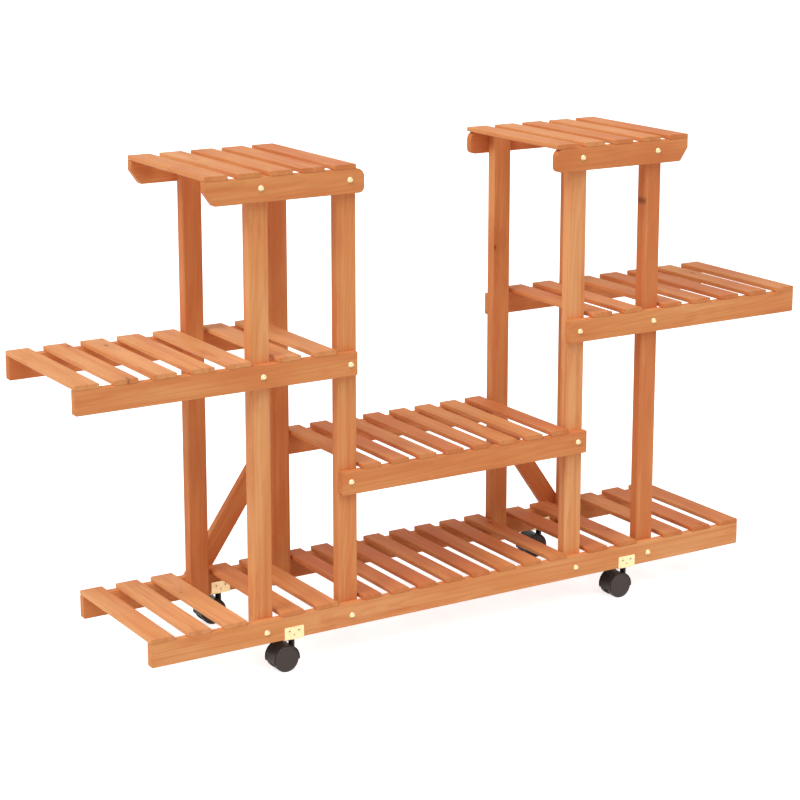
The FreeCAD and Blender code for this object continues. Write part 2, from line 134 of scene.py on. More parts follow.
def put(tree, socket, value):
    """Feed a socket from another socket, or give it a plain value."""
    if isinstance(value, bpy.types.NodeSocket):
        tree.links.new(value, socket)
    else:
        socket.default_value = value


def calc(tree, operation, *values):
    """One step of arithmetic on values or sockets."""
    node = tree.nodes.new("ShaderNodeMath")
    node.operation = operation
    for socket, value in zip(node.inputs, values):
        put(tree, socket, value)
    return node.outputs[0]


def vector_calc(tree, operation, *values):
    """One step of vector arithmetic; a dot product or a length comes out as a value."""
    node = tree.nodes.new("ShaderNodeVectorMath")
    node.operation = operation
    for socket, value in zip(node.inputs, values):
        put(tree, socket, value)
    return node.outputs["Value" if operation in ("DOT_PRODUCT", "LENGTH") else "Vector"]


def between(tree, value, low, high, out_low=0.0, out_high=1.0):
    """A smooth step of a value from one range to another."""
    node = tree.nodes.new("ShaderNodeMapRange")
    node.interpolation_type = "SMOOTHSTEP"
    for socket, number in zip(node.inputs, (value, low, high, out_low, out_high)):
        put(tree, socket, number)
    return node.outputs[0]


def blend_colours(tree, share, first, second):
    """Two colours mixed by a share."""
    node = tree.nodes.new("ShaderNodeMix")
    node.data_type = "RGBA"
    put(tree, node.inputs[0], share)
    put(tree, node.inputs[6], first)
    put(tree, node.inputs[7], second)
    return node.outputs[2]


def noise(tree, place, stretch, detail=3.0, roughness=0.5):
    """Noise whose grains are as many per metre in each direction as stretch says."""
    texture = tree.nodes.new("ShaderNodeTexNoise")
    put(tree, texture.inputs["Vector"], vector_calc(tree, "MULTIPLY", place, stretch))
    texture.inputs["Scale"].default_value = 1.0
    texture.inputs["Detail"].default_value = detail
    texture.inputs["Roughness"].default_value = roughness
    return texture.outputs["Fac"]


def new_group(name, inputs, outputs):
    """An empty effect with named inputs and outputs."""
    tree = bpy.data.node_groups.new(name, "ShaderNodeTree")
    for label, kind in inputs:
        tree.interface.new_socket(label, in_out="INPUT", socket_type="NodeSocket" + kind)
    for label, kind in outputs:
        tree.interface.new_socket(label, in_out="OUTPUT", socket_type="NodeSocket" + kind)
    start = tree.nodes.new("NodeGroupInput")
    end = tree.nodes.new("NodeGroupOutput")
    return tree, start.outputs, end.inputs


def make_board_grain():
    """Fir grain: rings round a far-off pith, fibres, tone of each board, knots and end grain.
    Place is in metres: X along the grain, Y across the board and Z through it."""
    tree, given, wanted = new_group(
        "board_grain",
        (("Place", "Vector"), ("Board", "Float"), ("Pitch", "Float"), ("Redness", "Float"),
         ("End Grain", "Float")),
        (("Color", "Color"), ("Roughness", "Float"), ("Height", "Float")),
    )
    split = tree.nodes.new("ShaderNodeSeparateXYZ")
    put(tree, split.inputs[0], given["Place"])
    along, across, deep = split.outputs
    index = calc(tree, "FLOOR", calc(tree, "DIVIDE", across, given["Pitch"]))
    across = calc(tree, "SUBTRACT", across, calc(tree, "MULTIPLY", index, given["Pitch"]))
    chance = tree.nodes.new("ShaderNodeTexWhiteNoise")
    chance.noise_dimensions = "1D"
    put(tree, chance.inputs["W"], calc(tree, "MULTIPLY_ADD", index, 1.37, given["Board"]))
    chances = tree.nodes.new("ShaderNodeSeparateColor")
    put(tree, chances.inputs[0], chance.outputs["Color"])
    first_chance, second_chance, third_chance = chances.outputs
    tone = chance.outputs["Value"]

    own_place = tree.nodes.new("ShaderNodeCombineXYZ")
    put(tree, own_place.inputs[0], calc(tree, "MULTIPLY_ADD", first_chance, 7.0, along))
    put(tree, own_place.inputs[1], calc(tree, "MULTIPLY_ADD", second_chance, 5.0, across))
    put(tree, own_place.inputs[2], calc(tree, "MULTIPLY_ADD", third_chance, 3.0, deep))
    own_place = own_place.outputs[0]

    knots = tree.nodes.new("ShaderNodeTexVoronoi")
    knots.voronoi_dimensions = "2D"
    put(tree, knots.inputs["Vector"], vector_calc(tree, "MULTIPLY", own_place, KNOTS_PER_METRE))
    knots.inputs["Scale"].default_value = 1.0
    knot_chance = tree.nodes.new("ShaderNodeSeparateColor")
    put(tree, knot_chance.inputs[0], knots.outputs["Color"])
    is_knot = calc(tree, "GREATER_THAN", knot_chance.outputs[0], KNOT_SHARE)
    reach = knots.outputs["Distance"]
    knot_size = calc(tree, "MULTIPLY_ADD", knot_chance.outputs[1], 0.028, 0.014)
    knot = calc(tree, "MULTIPLY", between(tree, reach, knot_size, 0.0), is_knot)
    swirl = calc(tree, "MULTIPLY", between(tree, reach, 0.22, 0.0), is_knot)

    bend = noise(tree, own_place, BENDS_PER_METRE, 2.0)
    slope_across = calc(tree, "MULTIPLY_ADD", second_chance, 0.036, -0.018)
    slope_deep = calc(tree, "MULTIPLY_ADD", tone, 0.060, -0.030)
    start_across = calc(tree, "MULTIPLY_ADD", first_chance, 0.052, -0.012)
    start_deep = calc(tree, "MULTIPLY_ADD", third_chance, 0.045, 0.018)
    pith_across = calc(tree, "ADD", start_across, calc(tree, "MULTIPLY", along, slope_across))
    pith_deep = calc(tree, "ADD", start_deep, calc(tree, "MULTIPLY", along, slope_deep))
    from_across = calc(tree, "POWER", calc(tree, "SUBTRACT", across, pith_across), 2.0)
    from_deep = calc(tree, "POWER", calc(tree, "ADD", deep, pith_deep), 2.0)
    from_pith = calc(tree, "SQRT", calc(tree, "ADD", from_across, from_deep))
    from_pith = calc(tree, "MULTIPLY_ADD", bend, RING_BEND, from_pith)
    from_pith = calc(tree, "MULTIPLY_ADD", swirl, RING_SWIRL, from_pith)
    ring = calc(tree, "FRACT", calc(tree, "DIVIDE", from_pith, RING_WIDTH))
    late = calc(tree, "MULTIPLY", between(tree, ring, 0.30, 0.90), between(tree, ring, 1.0, 0.93))

    fibre = noise(tree, own_place, FIBRES_PER_METRE, 3.0, 0.6)
    streak = noise(tree, own_place, STREAKS_PER_METRE, 4.0, 0.6)
    cloud = noise(tree, own_place, CLOUDS_PER_METRE, 2.0)
    stain = noise(tree, own_place, STAINS_PER_METRE, 3.0, 0.6)

    redness = calc(tree, "MULTIPLY_ADD", calc(tree, "SUBTRACT", tone, 0.5), 0.60, given["Redness"])
    redness = calc(tree, "MULTIPLY_ADD", calc(tree, "SUBTRACT", cloud, 0.5), -1.7, redness)
    colour = blend_colours(tree, between(tree, redness, -0.1, 0.5), PALE_WOOD, EARLY_WOOD)
    colour = blend_colours(tree, between(tree, redness, 0.4, 1.1), colour, RED_WOOD)
    colour = blend_colours(tree, between(tree, streak, 0.46, 0.76, 0.0, 0.72), colour, RED_WOOD)
    colour = blend_colours(tree, between(tree, streak, 0.46, 0.24, 0.0, 0.60), colour, PALE_WOOD)
    colour = blend_colours(tree, between(tree, stain, 0.54, 0.74, 0.0, 0.72), colour, RED_WOOD)
    colour = blend_colours(tree, calc(tree, "MULTIPLY", late, RING_DARKNESS), colour, LATE_WOOD)
    dark_fibre = between(tree, fibre, 0.50, 0.85, 0.0, FIBRE_DARKNESS)
    colour = blend_colours(tree, dark_fibre, colour, LATE_WOOD)
    colour = blend_colours(tree, calc(tree, "MULTIPLY", swirl, SWIRL_DARKNESS), colour, LATE_WOOD)
    colour = blend_colours(tree, calc(tree, "MULTIPLY", knot, KNOT_DARKNESS), colour, KNOT_WOOD)
    end_share = calc(tree, "MULTIPLY", given["End Grain"], END_DARKNESS)
    colour = blend_colours(tree, end_share, colour, LATE_WOOD)
    put(tree, wanted["Color"], colour)
    rough = calc(tree, "MULTIPLY_ADD", fibre, 0.20, WOOD_ROUGHNESS)
    rough = calc(tree, "MULTIPLY_ADD", late, -0.07, rough)
    put(tree, wanted["Roughness"], calc(tree, "MULTIPLY_ADD", given["End Grain"], 0.18, rough))
    height = calc(tree, "MULTIPLY_ADD", late, 0.30, fibre)
    put(tree, wanted["Height"], calc(tree, "MULTIPLY_ADD", knot, -0.6, height))
    return tree


def make_edge_wear_and_highlight():
    """Where a rounded normal turns away from the true one there is an edge; noise breaks it up. The
    finishes pale these edges, partly as wear and partly as a painted highlight.
    """
    tree, given, wanted = new_group(
        "edge_wear_and_highlight", (("Rounded", "Vector"), ("Grains", "Float")), (("Mask", "Float"),)
    )
    geometry = tree.nodes.new("ShaderNodeNewGeometry")
    same = vector_calc(tree, "DOT_PRODUCT", given["Rounded"], geometry.outputs["Normal"])
    edge = between(tree, same, 0.995, 0.86)
    coordinates = tree.nodes.new("ShaderNodeTexCoord")
    scaled = vector_calc(tree, "SCALE", coordinates.outputs["Object"])
    put(tree, tree.nodes[-1].inputs["Scale"], given["Grains"])
    patches = noise(tree, scaled, (1.0, 1.0, 1.0), 3.0, 0.6)
    put(tree, wanted["Mask"], calc(tree, "MULTIPLY", edge, between(tree, patches, 0.36, 0.62)))
    return tree


# The edge mask that the finishes use both for wear and for a painted highlight.
board_grain = make_board_grain()
edge_wear_and_highlight = make_edge_wear_and_highlight()


def new_material(name):
    """A material with only its surface shader."""
    material = bpy.data.materials.new(name)
    material.use_nodes = True
    tree = material.node_tree
    shader = next(node for node in tree.nodes if node.type == "BSDF_PRINCIPLED")
    return material, tree, shader


def place_group(tree, group, values):
    """An effect placed in a material with its own values."""
    node = tree.nodes.new("ShaderNodeGroup")
    node.node_tree = group
    for label, value in values.items():
        put(tree, node.inputs[label], value)
    return node.outputs


def rounded_normal(tree, radius):
    """The normal of a surface whose edges are eased by this radius."""
    bevel = tree.nodes.new("ShaderNodeBevel")
    bevel.samples = 4
    bevel.inputs["Radius"].default_value = radius
    return bevel.outputs["Normal"]


def bumped(tree, shader, height, strength, distance, normal):
    """Feed the shader's normal with a height."""
    bump = tree.nodes.new("ShaderNodeBump")
    bump.inputs["Strength"].default_value = strength
    bump.inputs["Distance"].default_value = distance
    put(tree, bump.inputs["Height"], height)
    put(tree, bump.inputs["Normal"], normal)
    put(tree, shader.inputs["Normal"], bump.outputs["Normal"])


def wood(name, along, across, corner, board, redness, pitch=ONE_BOARD):
    """Stained fir for one board, or for a row of boards at a pitch. The corner is a low corner."""
    material, tree, shader = new_material(name + "_wood")
    turn = Matrix((along, across, along.cross(across)))
    coordinates = tree.nodes.new("ShaderNodeTexCoord")
    mapping = tree.nodes.new("ShaderNodeMapping")
    mapping.inputs["Rotation"].default_value = turn.to_euler()
    mapping.inputs["Location"].default_value = -(turn @ corner)
    put(tree, mapping.inputs["Vector"], coordinates.outputs["Object"])
    facing = vector_calc(tree, "DOT_PRODUCT", coordinates.outputs["Normal"], along)
    end_grain = between(tree, calc(tree, "ABSOLUTE", facing), 0.80, 0.98)
    grain = place_group(tree, board_grain, {
        "Place": mapping.outputs["Vector"],
        "Board": board,
        "Pitch": pitch,
        "Redness": redness,
        "End Grain": end_grain,
    })
    soft_edge = rounded_normal(tree, WOOD_EDGE_RADIUS)
    worn_and_highlit = place_group(tree, edge_wear_and_highlight, {"Rounded": soft_edge, "Grains": WOOD_EDGE_GRAINS})["Mask"]
    # Eased edges are paled: partly worn stain, partly a painted highlight.
    colour = blend_colours(tree, calc(tree, "MULTIPLY", worn_and_highlit, WOOD_WEAR_AND_HIGHLIGHT), grain["Color"], WORN_AND_HIGHLIT_WOOD)
    put(tree, shader.inputs["Base Color"], colour)
    put(tree, shader.inputs["Roughness"], grain["Roughness"])
    shader.inputs["Specular IOR Level"].default_value = WOOD_GLOSS
    bumped(tree, shader, grain["Height"], 0.30, 0.0004, soft_edge)
    return material


def dress(node_name, material):
    """Give a CAD piece its finish, in every slot that it has."""
    node = frame["nodes"][node_name]
    for index in range(len(node.data.materials)):
        node.data.materials[index] = material


for number, (shelf, redness) in enumerate(RAIL_REDNESS.items()):
    for row in ("front", "rear"):
        rail = shelf + "_" + row + "_rail"
        is_rear = row == "rear"
        board = 11.0 + 2 * number + is_rear
        # Rear rails get extra redness: painted shade.
        dress(rail, wood(rail, RIGHT, UP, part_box(rail)[0], board, redness + REAR_SHADE_REDNESS * is_rear))


# The slats. Thinner fir boards, 37 mm wide on most shelves and 31 mm on the centre ones, 7 mm
# thick, laid across both rails and fixed from below. Their grain runs from front to back.
SLAT_WIDTH = 0.037
CENTRE_SLAT_WIDTH = 0.031
CELL_MARGIN = 0.0003
SLAT_ROWS = {
    "left_bottom_slats": (3, SLAT_WIDTH, 0.15),
    "left_tower_bottom_slats": (2, SLAT_WIDTH, 0.45),
    "centre_bottom_slats": (8, CENTRE_SLAT_WIDTH, 0.90),
    "right_tower_bottom_slats": (2, SLAT_WIDTH, 0.75),
    "right_bottom_slats": (3, SLAT_WIDTH, 0.75),
    "left_mid_slats": (7, SLAT_WIDTH, 0.05),
    "right_mid_slats": (7, SLAT_WIDTH, 0.65),
    "centre_slats": (8, CENTRE_SLAT_WIDTH, 0.65),
    "left_top_slats": (5, SLAT_WIDTH, 0.62),
    "right_top_slats": (5, SLAT_WIDTH, 0.55),
}
for number, (row, (count, width, redness)) in enumerate(SLAT_ROWS.items()):
    low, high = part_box(row)
    pitch = (high.x - low.x - width) / (count - 1)
    corner = low - RIGHT * CELL_MARGIN
    dress(row, wood(row, BACK, RIGHT, corner, 31.0 + 12.3 * number, redness, pitch))


# The posts. Eight fir uprights, 32 x 18 mm, four to each tower. They stand between the front and
# rear rails and end flush under the top slats. Their grain runs upright.
POST_REDNESS = {
    "left_outer_front": 0.12,
    "left_inner_front": 0.28,
    "right_inner_front": 0.0,
    "right_outer_front": 0.68,
    # The rear posts are made redder and darker than the front ones: painted shade.
    "left_outer_rear": 0.95,
    "left_inner_rear": 0.80,
    "right_inner_rear": 0.90,
    "right_outer_rear": 0.85,
}
for number, (place, redness) in enumerate(POST_REDNESS.items()):
    post = place + "_post"
    dress(post, wood(post, UP, RIGHT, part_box(post)[0], 171.0 + number, redness))


# The braces. Two slanted boards bolted behind the rear rails, from the bottom one up to the centre
# one, which keep the towers from leaning.
BRACE_HALF_WIDTH = 0.016
for side, name, redness in ((-1, "left_brace", 0.45), (1, "right_brace", 0.65)):
    low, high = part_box(name)
    along = Vector((-side * (high.x - low.x), 0, high.z - low.z)).normalized()
    across = along.cross(BACK)
    corner = (low + high) / 2 - across * BRACE_HALF_WIDTH
    dress(name, wood(name, along, across, corner, 191.0 + side, redness))


# The plates. Angle plates of 1.5 mm sheet steel in pale yellow brass plating, bent to lie against
# the rail's front and under it. Each is held by two screws and carries a caster on its lower leg.
BRASS = (0.890, 0.690, 0.400, 1)
DULL_BRASS = (0.760, 0.560, 0.300, 1)
# Edge colour: partly rubbed plating, partly a painted highlight.
RUBBED_AND_HIGHLIT_BRASS = (0.970, 0.860, 0.640, 1)
# Dark colour for faces that look down: painted shade.
UNDERSIDE_SHADE = (0.300, 0.190, 0.080, 1)


def metal(name, bright, dull, rubbed_and_highlit, grains, roughness, underside_shade=0.0):
    """Plated metal with dull patches and fine scratches. Its edges are paled, partly as rubbed plating
    and partly as a painted highlight, and when asked, faces that look down are darkened as painted
    shade.
    """
    material, tree, shader = new_material(name)
    place = tree.nodes.new("ShaderNodeTexCoord")
    coordinates = place.outputs["Object"]
    patches = noise(tree, coordinates, (grains, grains, grains), 4.0, 0.6)
    scratches = noise(tree, coordinates, (260.0, 2600.0, 2600.0), 2.0, 0.5)
    soft_edge = rounded_normal(tree, 0.0004)
    worn_and_highlit = place_group(tree, edge_wear_and_highlight, {"Rounded": soft_edge, "Grains": 500.0})["Mask"]
    colour = blend_colours(tree, between(tree, patches, 0.42, 0.80, 0.0, 0.55), bright, dull)
    # Edges are paled: partly rubbed plating, partly a painted highlight.
    colour = blend_colours(tree, calc(tree, "MULTIPLY", worn_and_highlit, 0.45), colour, rubbed_and_highlit)
    # Faces that look down are darkened: painted shade on the underside.
    if underside_shade:
        upwards = vector_calc(tree, "DOT_PRODUCT", place.outputs["Normal"], UP)
        colour = blend_colours(tree, between(tree, upwards, 0.0, -0.45, 0.0, underside_shade), colour, UNDERSIDE_SHADE)
    put(tree, shader.inputs["Base Color"], colour)
    shader.inputs["Metallic"].default_value = 1.0
    put(tree, shader.inputs["Roughness"], calc(tree, "MULTIPLY_ADD", patches, 0.22, roughness))
    bumped(tree, shader, scratches, 0.12, 0.0001, soft_edge)
    return material


plate_brass = metal("plate_brass", BRASS, DULL_BRASS, RUBBED_AND_HIGHLIT_BRASS, 160.0, 0.30)
for name in frame["nodes"]:
    if name.endswith("_plate"):
        dress(name, plate_brass)


# The bolts. Domed bolts in the same plating as the plates, one through each crossing of rail and
# post. The head is a plain low dome without a slot, pressed from the same wire as its shank.
BOLT_HEAD_RADIUS = 0.0050
BOLT_HEAD_HEIGHT = 0.0030
BOLT_RIM_HEIGHT = 0.0004
BOLT_SHANK_RADIUS = 0.0025
BOLT_TIP_CHAMFER = 0.0006
BOLT_TIP_SHARE = 0.76
# How much the bolt heads darken where they face down: painted shade.
BOLT_UNDERSIDE_SHADE = 0.8
DOME_STEPS = 7
ROUND_EDGES = 36
SAME_POINT = 0.000001
SMOOTH_ANGLE = 35


def start_shaping(piece):
    """Enter edit mode on one new piece alone."""
    bpy.ops.object.select_all(action="DESELECT")
    piece.select_set(True)
    bpy.context.view_layer.objects.active = piece
    bpy.ops.object.mode_set(mode="EDIT")


def pick(piece, kind, wanted):
    """In edit mode, select only the faces, edges or points that pass a test."""
    bpy.ops.mesh.select_mode(type=kind)
    bpy.ops.mesh.select_all(action="DESELECT")
    form = bmesh.from_edit_mesh(piece.data)
    parts = {"FACE": form.faces, "EDGE": form.edges, "VERT": form.verts}[kind]
    for part in parts:
        if wanted(part):
            part.select_set(True)
    form.select_flush(True)
    bmesh.update_edit_mesh(piece.data)


def push_out(distance):
    """Extrude the selected faces along Z."""
    bpy.ops.mesh.extrude_region_move(TRANSFORM_OT_translate={"value": (0, 0, distance)})


def end_shaping(piece, smooth_angle=SMOOTH_ANGLE):
    """Merge doubles, turn all faces outwards, leave edit mode and smooth the round faces."""
    bpy.ops.mesh.select_all(action="SELECT")
    bpy.ops.mesh.remove_doubles(threshold=SAME_POINT)
    bpy.ops.mesh.normals_make_consistent(inside=False)
    bpy.ops.object.mode_set(mode="OBJECT")
    bpy.ops.object.transform_apply(location=True, rotation=True, scale=True)
    bpy.ops.object.shade_smooth_by_angle(angle=math.radians(smooth_angle))


def new_cylinder(radius, low, high, edges=ROUND_EDGES):
    """An upright cylinder on the Z axis, active and in edit mode."""
    bpy.ops.object.select_all(action="DESELECT")
    bpy.ops.mesh.primitive_cylinder_add(
        vertices=edges, radius=radius, depth=high - low, location=(0, 0, (low + high) / 2)
    )
    piece = bpy.context.object
    bpy.ops.object.transform_apply(location=True, rotation=False, scale=False)
    start_shaping(piece)
    return piece


def is_top(face):
    """Whether a face looks up."""
    return face.normal.z > 0.99


def is_bottom(face):
    """Whether a face looks down."""
    return face.normal.z < -0.99


def put_copy(pattern, name, place, outwards, body, finish):
    """A copy of a finished piece with its own mesh, its Z axis turned outwards, put in place."""
    copy = bpy.data.objects.new(name, pattern.data.copy())
    turn = UP.rotation_difference(outwards).to_matrix().to_4x4()
    copy.data.transform(Matrix.Translation(place) @ turn)
    bpy.context.scene.collection.objects.link(copy)
    if not copy.data.materials:
        copy.data.materials.append(finish)
    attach(copy, body)
    return copy


def solid_boxes(node_name):
    """The low and high corner of every separate solid of a CAD piece."""
    form = bmesh.new()
    form.from_mesh(frame["nodes"][node_name].data)
    bmesh.ops.remove_doubles(form, verts=form.verts, dist=SAME_POINT)
    left = set(form.verts)
    boxes = []
    while left:
        island = []
        front = [left.pop()]
        while front:
            point = front.pop()
            island.append(point.co.copy())
            near = {edge.other_vert(point) for edge in point.link_edges} & left
            left -= near
            front.extend(near)
        low = Vector(map(min, *island))
        high = Vector(map(max, *island))
        boxes.append((low, high))
    form.free()
    return sorted(boxes, key=lambda box: [round(box[0][axis], 4) for axis in (2, 0, 1)])


def make_bolt(shank_length):
    """A bolt whose head sits on Z = 0: its dome above and its shank below."""
    bolt = new_cylinder(BOLT_HEAD_RADIUS, 0, BOLT_RIM_HEIGHT)
    pick(bolt, "FACE", is_top)
    crown = BOLT_HEAD_HEIGHT - BOLT_RIM_HEIGHT
    bend = (BOLT_HEAD_RADIUS ** 2 + crown ** 2) / (2 * crown)
    full_turn = math.asin(BOLT_HEAD_RADIUS / bend)
    turns = [full_turn * (1 - step / DOME_STEPS) for step in range(DOME_STEPS)]
    for outer, inner in zip(turns, turns[1:]):
        bpy.ops.mesh.inset(
            thickness=bend * (math.sin(outer) - math.sin(inner)),
            depth=bend * (math.cos(inner) - math.cos(outer)),
        )
    pick(bolt, "FACE", is_bottom)
    bpy.ops.mesh.inset(thickness=BOLT_HEAD_RADIUS - BOLT_SHANK_RADIUS)
    push_out(BOLT_TIP_CHAMFER - shank_length)
    push_out(-BOLT_TIP_CHAMFER)
    bpy.ops.transform.resize(value=(BOLT_TIP_SHARE, BOLT_TIP_SHARE, 1))
    end_shaping(bolt)
    return bolt


# The bolt heads are darkened where they face down: painted shade.
bolt_brass = metal("bolt_brass", BRASS, DULL_BRASS, RUBBED_AND_HIGHLIT_BRASS, 420.0, 0.22, BOLT_UNDERSIDE_SHADE)
for row, outwards in (("front_bolts", -BACK), ("rear_bolts", BACK)):
    for number, (low, high) in enumerate(solid_boxes(row)):
        middle = (low + high) / 2
        length = high.y - low.y
        head_face = low.y if outwards.y < 0 else high.y
        place = Vector((middle.x, head_face - outwards.y * BOLT_HEAD_HEIGHT, middle.z))
        bolt = make_bolt(length - BOLT_HEAD_HEIGHT)
        name = row[:-1] + "_" + str(number + 1)
        copy = put_copy(bolt, name, place, outwards, "stand_frame", bolt_brass)
        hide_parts(row)
        bpy.data.objects.remove(bolt)


# The plate screws. Flat countersunk wood screws, two to a plate, flush with it and driven into the rail.
# Each head has a small cross recess, which looks dark from a step away. It is coloured near black as
# painted shade, with some dirt.
SCREW_HEAD_RADIUS = 0.0032
SCREW_HEAD_DEPTH = 0.0015
SCREW_SHANK_RADIUS = 0.0015
CROSS_REACH = 0.0032
CROSS_ARM_WIDTH = 0.0010
CROSS_DEPTH = 0.0011
CROSS_FOOT_SHARE = 0.6
RING_ROUND_CROSS = 1.6
NEARLY = 0.0001
# Near-black recess colours: painted shade, with some dirt.
RECESS_SHADE_AND_DIRT = (0.100, 0.070, 0.040, 1)
RECESS_DEEP_SHADE_AND_DIRT = (0.050, 0.040, 0.030, 1)
screw_brass = metal("screw_brass", BRASS, DULL_BRASS, RUBBED_AND_HIGHLIT_BRASS, 420.0, 0.30)
recess_shade_and_dirt = metal("recess_shade_and_dirt", RECESS_SHADE_AND_DIRT, RECESS_DEEP_SHADE_AND_DIRT, DULL_BRASS, 900.0, 0.50)


def make_screw(length):
    """A countersunk screw with its flat head on Z = 0, shaped from a grid of three by three."""
    bpy.ops.object.select_all(action="DESELECT")
    bpy.ops.mesh.primitive_grid_add(x_subdivisions=3, y_subdivisions=3, size=CROSS_REACH)
    screw = bpy.context.object
    start_shaping(screw)
    narrowing = CROSS_ARM_WIDTH / (CROSS_REACH / 3)
    pick(screw, "VERT", lambda point: abs(point.co.x) < CROSS_REACH / 4)
    bpy.ops.transform.resize(value=(narrowing, 1, 1))
    pick(screw, "VERT", lambda point: abs(point.co.y) < CROSS_REACH / 4)
    bpy.ops.transform.resize(value=(1, narrowing, 1))
    bpy.ops.mesh.select_all(action="SELECT")
    bpy.ops.mesh.region_to_loop()
    bpy.ops.mesh.extrude_edges_move()
    bpy.ops.transform.resize(value=(RING_ROUND_CROSS, RING_ROUND_CROSS, 1))
    bpy.ops.transform.tosphere(value=1)
    rim = max(point.co.length for point in bmesh.from_edit_mesh(screw.data).verts)
    grow = SCREW_HEAD_RADIUS / rim
    bpy.ops.transform.resize(value=(grow, grow, 1))
    bpy.ops.mesh.extrude_edges_move(TRANSFORM_OT_translate={"value": (0, 0, -SCREW_HEAD_DEPTH)})
    shrink = SCREW_SHANK_RADIUS / SCREW_HEAD_RADIUS
    bpy.ops.transform.resize(value=(shrink, shrink, 1))
    down = SCREW_HEAD_DEPTH - length
    bpy.ops.mesh.extrude_edges_move(TRANSFORM_OT_translate={"value": (0, 0, down)})
    bpy.ops.mesh.edge_face_add()
    in_cross = CROSS_ARM_WIDTH / 2
    pick(screw, "FACE", lambda face: (
        abs(face.normal.z) > 0.9
        and abs(face.calc_center_median().z) < NEARLY
        and face.calc_center_median().length < CROSS_REACH / 2
        and min(abs(face.calc_center_median().x), abs(face.calc_center_median().y)) < in_cross
    ))
    push_out(-CROSS_DEPTH)
    bpy.ops.transform.resize(value=(CROSS_FOOT_SHARE, CROSS_FOOT_SHARE, 1))
    bpy.ops.mesh.select_more()
    # The cross recess gets the near-black finish: painted shade, with some dirt.
    screw.data.materials.append(screw_brass)
    screw.data.materials.append(recess_shade_and_dirt)
    screw.active_material_index = 1
    bpy.ops.object.material_slot_assign()
    end_shaping(screw, 25)
    return screw


for number, (low, high) in enumerate(solid_boxes("plate_screws")):
    middle = (low + high) / 2
    screw = make_screw(high.y - low.y)
    name = "plate_screw_" + str(number + 1)
    place = Vector((middle.x, low.y, middle.z))
    copy = put_copy(screw, name, place, -BACK, "stand_frame", screw_brass)
    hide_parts("plate_screws")
    bpy.data.objects.remove(screw)


# The kingpins and axles. Zinc-plated steel pins: each kingpin is riveted into its plate and each
# axle is pressed through the web of its caster, with a wheel on both ends.
STEEL = (0.560, 0.560, 0.550, 1)
DULL_STEEL = (0.300, 0.290, 0.280, 1)
# Edge colour: partly rubbed plating, partly a painted highlight.
RUBBED_AND_HIGHLIT_STEEL = (0.760, 0.760, 0.750, 1)
pin_steel = metal("pin_steel", STEEL, DULL_STEEL, RUBBED_AND_HIGHLIT_STEEL, 200.0, 0.26)
for name in frame["nodes"]:
    if name == "kingpins" or name.endswith("_axle"):
        dress(name, pin_steel)


# The caster housings. Hood, web and neck are one moulding in black nylon with a fine skin. The hood
# has a bead along both rims and a shallow valley between them, and the neck turns on the kingpin.
HOOD_BLACK = (0.014, 0.010, 0.008, 1)
# The dust colour. It also pales the edges, partly as rubbing and partly as a painted highlight.
DUST_AND_EDGE_HIGHLIGHT = (0.075, 0.058, 0.048, 1)
PLACES = ("left_front", "left_rear", "right_front", "right_rear")
HOOD_WALL = 0.0015
HOOD_SHORT_OF_WHEEL = 0.0009
HOOD_SKIN_DEPTH = 0.0008
HOOD_VALLEY_DEPTH = 0.0005
HOOD_BEAD_WIDTH = 0.0016
HOOD_CELLS = 14
HOOD_START = math.radians(-8)
HOOD_SWEEP = math.radians(205)
HOOD_STEPS = 41
WEB_HALF_THICKNESS = 0.0045
BOSS_RADIUS = 0.0075
NECK_RADIUS = 0.00475
NECK_SETBACK = 0.0155
NECK_FOOT = 0.0040
COLLAR_STEP = 0.0005
PIN_BORE_RADIUS = 0.00245
PIN_BORE_FOOT = 0.0054
AXLE_RADIUS = 0.0020
BOSS_EASING = 0.0003


def plastic(name, colour, roughness, dust):
    """Moulded plastic: fine skin, scuffs and dust, with edges paled partly as rubbing and partly as a
    painted highlight.
    """
    material, tree, shader = new_material(name)
    coordinates = tree.nodes.new("ShaderNodeTexCoord").outputs["Object"]
    skin = noise(tree, coordinates, (2400.0, 2400.0, 2400.0), 2.0, 0.5)
    scuffs = noise(tree, coordinates, (120.0, 120.0, 120.0), 4.0, 0.65)
    soft_edge = rounded_normal(tree, 0.0005)
    worn_and_highlit = place_group(tree, edge_wear_and_highlight, {"Rounded": soft_edge, "Grains": 400.0})["Mask"]
    shade = blend_colours(tree, between(tree, scuffs, 0.48, 0.80, 0.0, dust), colour, DUST_AND_EDGE_HIGHLIGHT)
    # Edges are paled: partly rubbing, partly a painted highlight.
    shade = blend_colours(tree, calc(tree, "MULTIPLY", worn_and_highlit, 0.6), shade, DUST_AND_EDGE_HIGHLIGHT)
    put(tree, shader.inputs["Base Color"], shade)
    put(tree, shader.inputs["Roughness"], calc(tree, "MULTIPLY_ADD", scuffs, 0.25, roughness))
    shader.inputs["Specular IOR Level"].default_value = 0.25
    bumped(tree, shader, skin, 0.10, 0.0001, soft_edge)
    return material


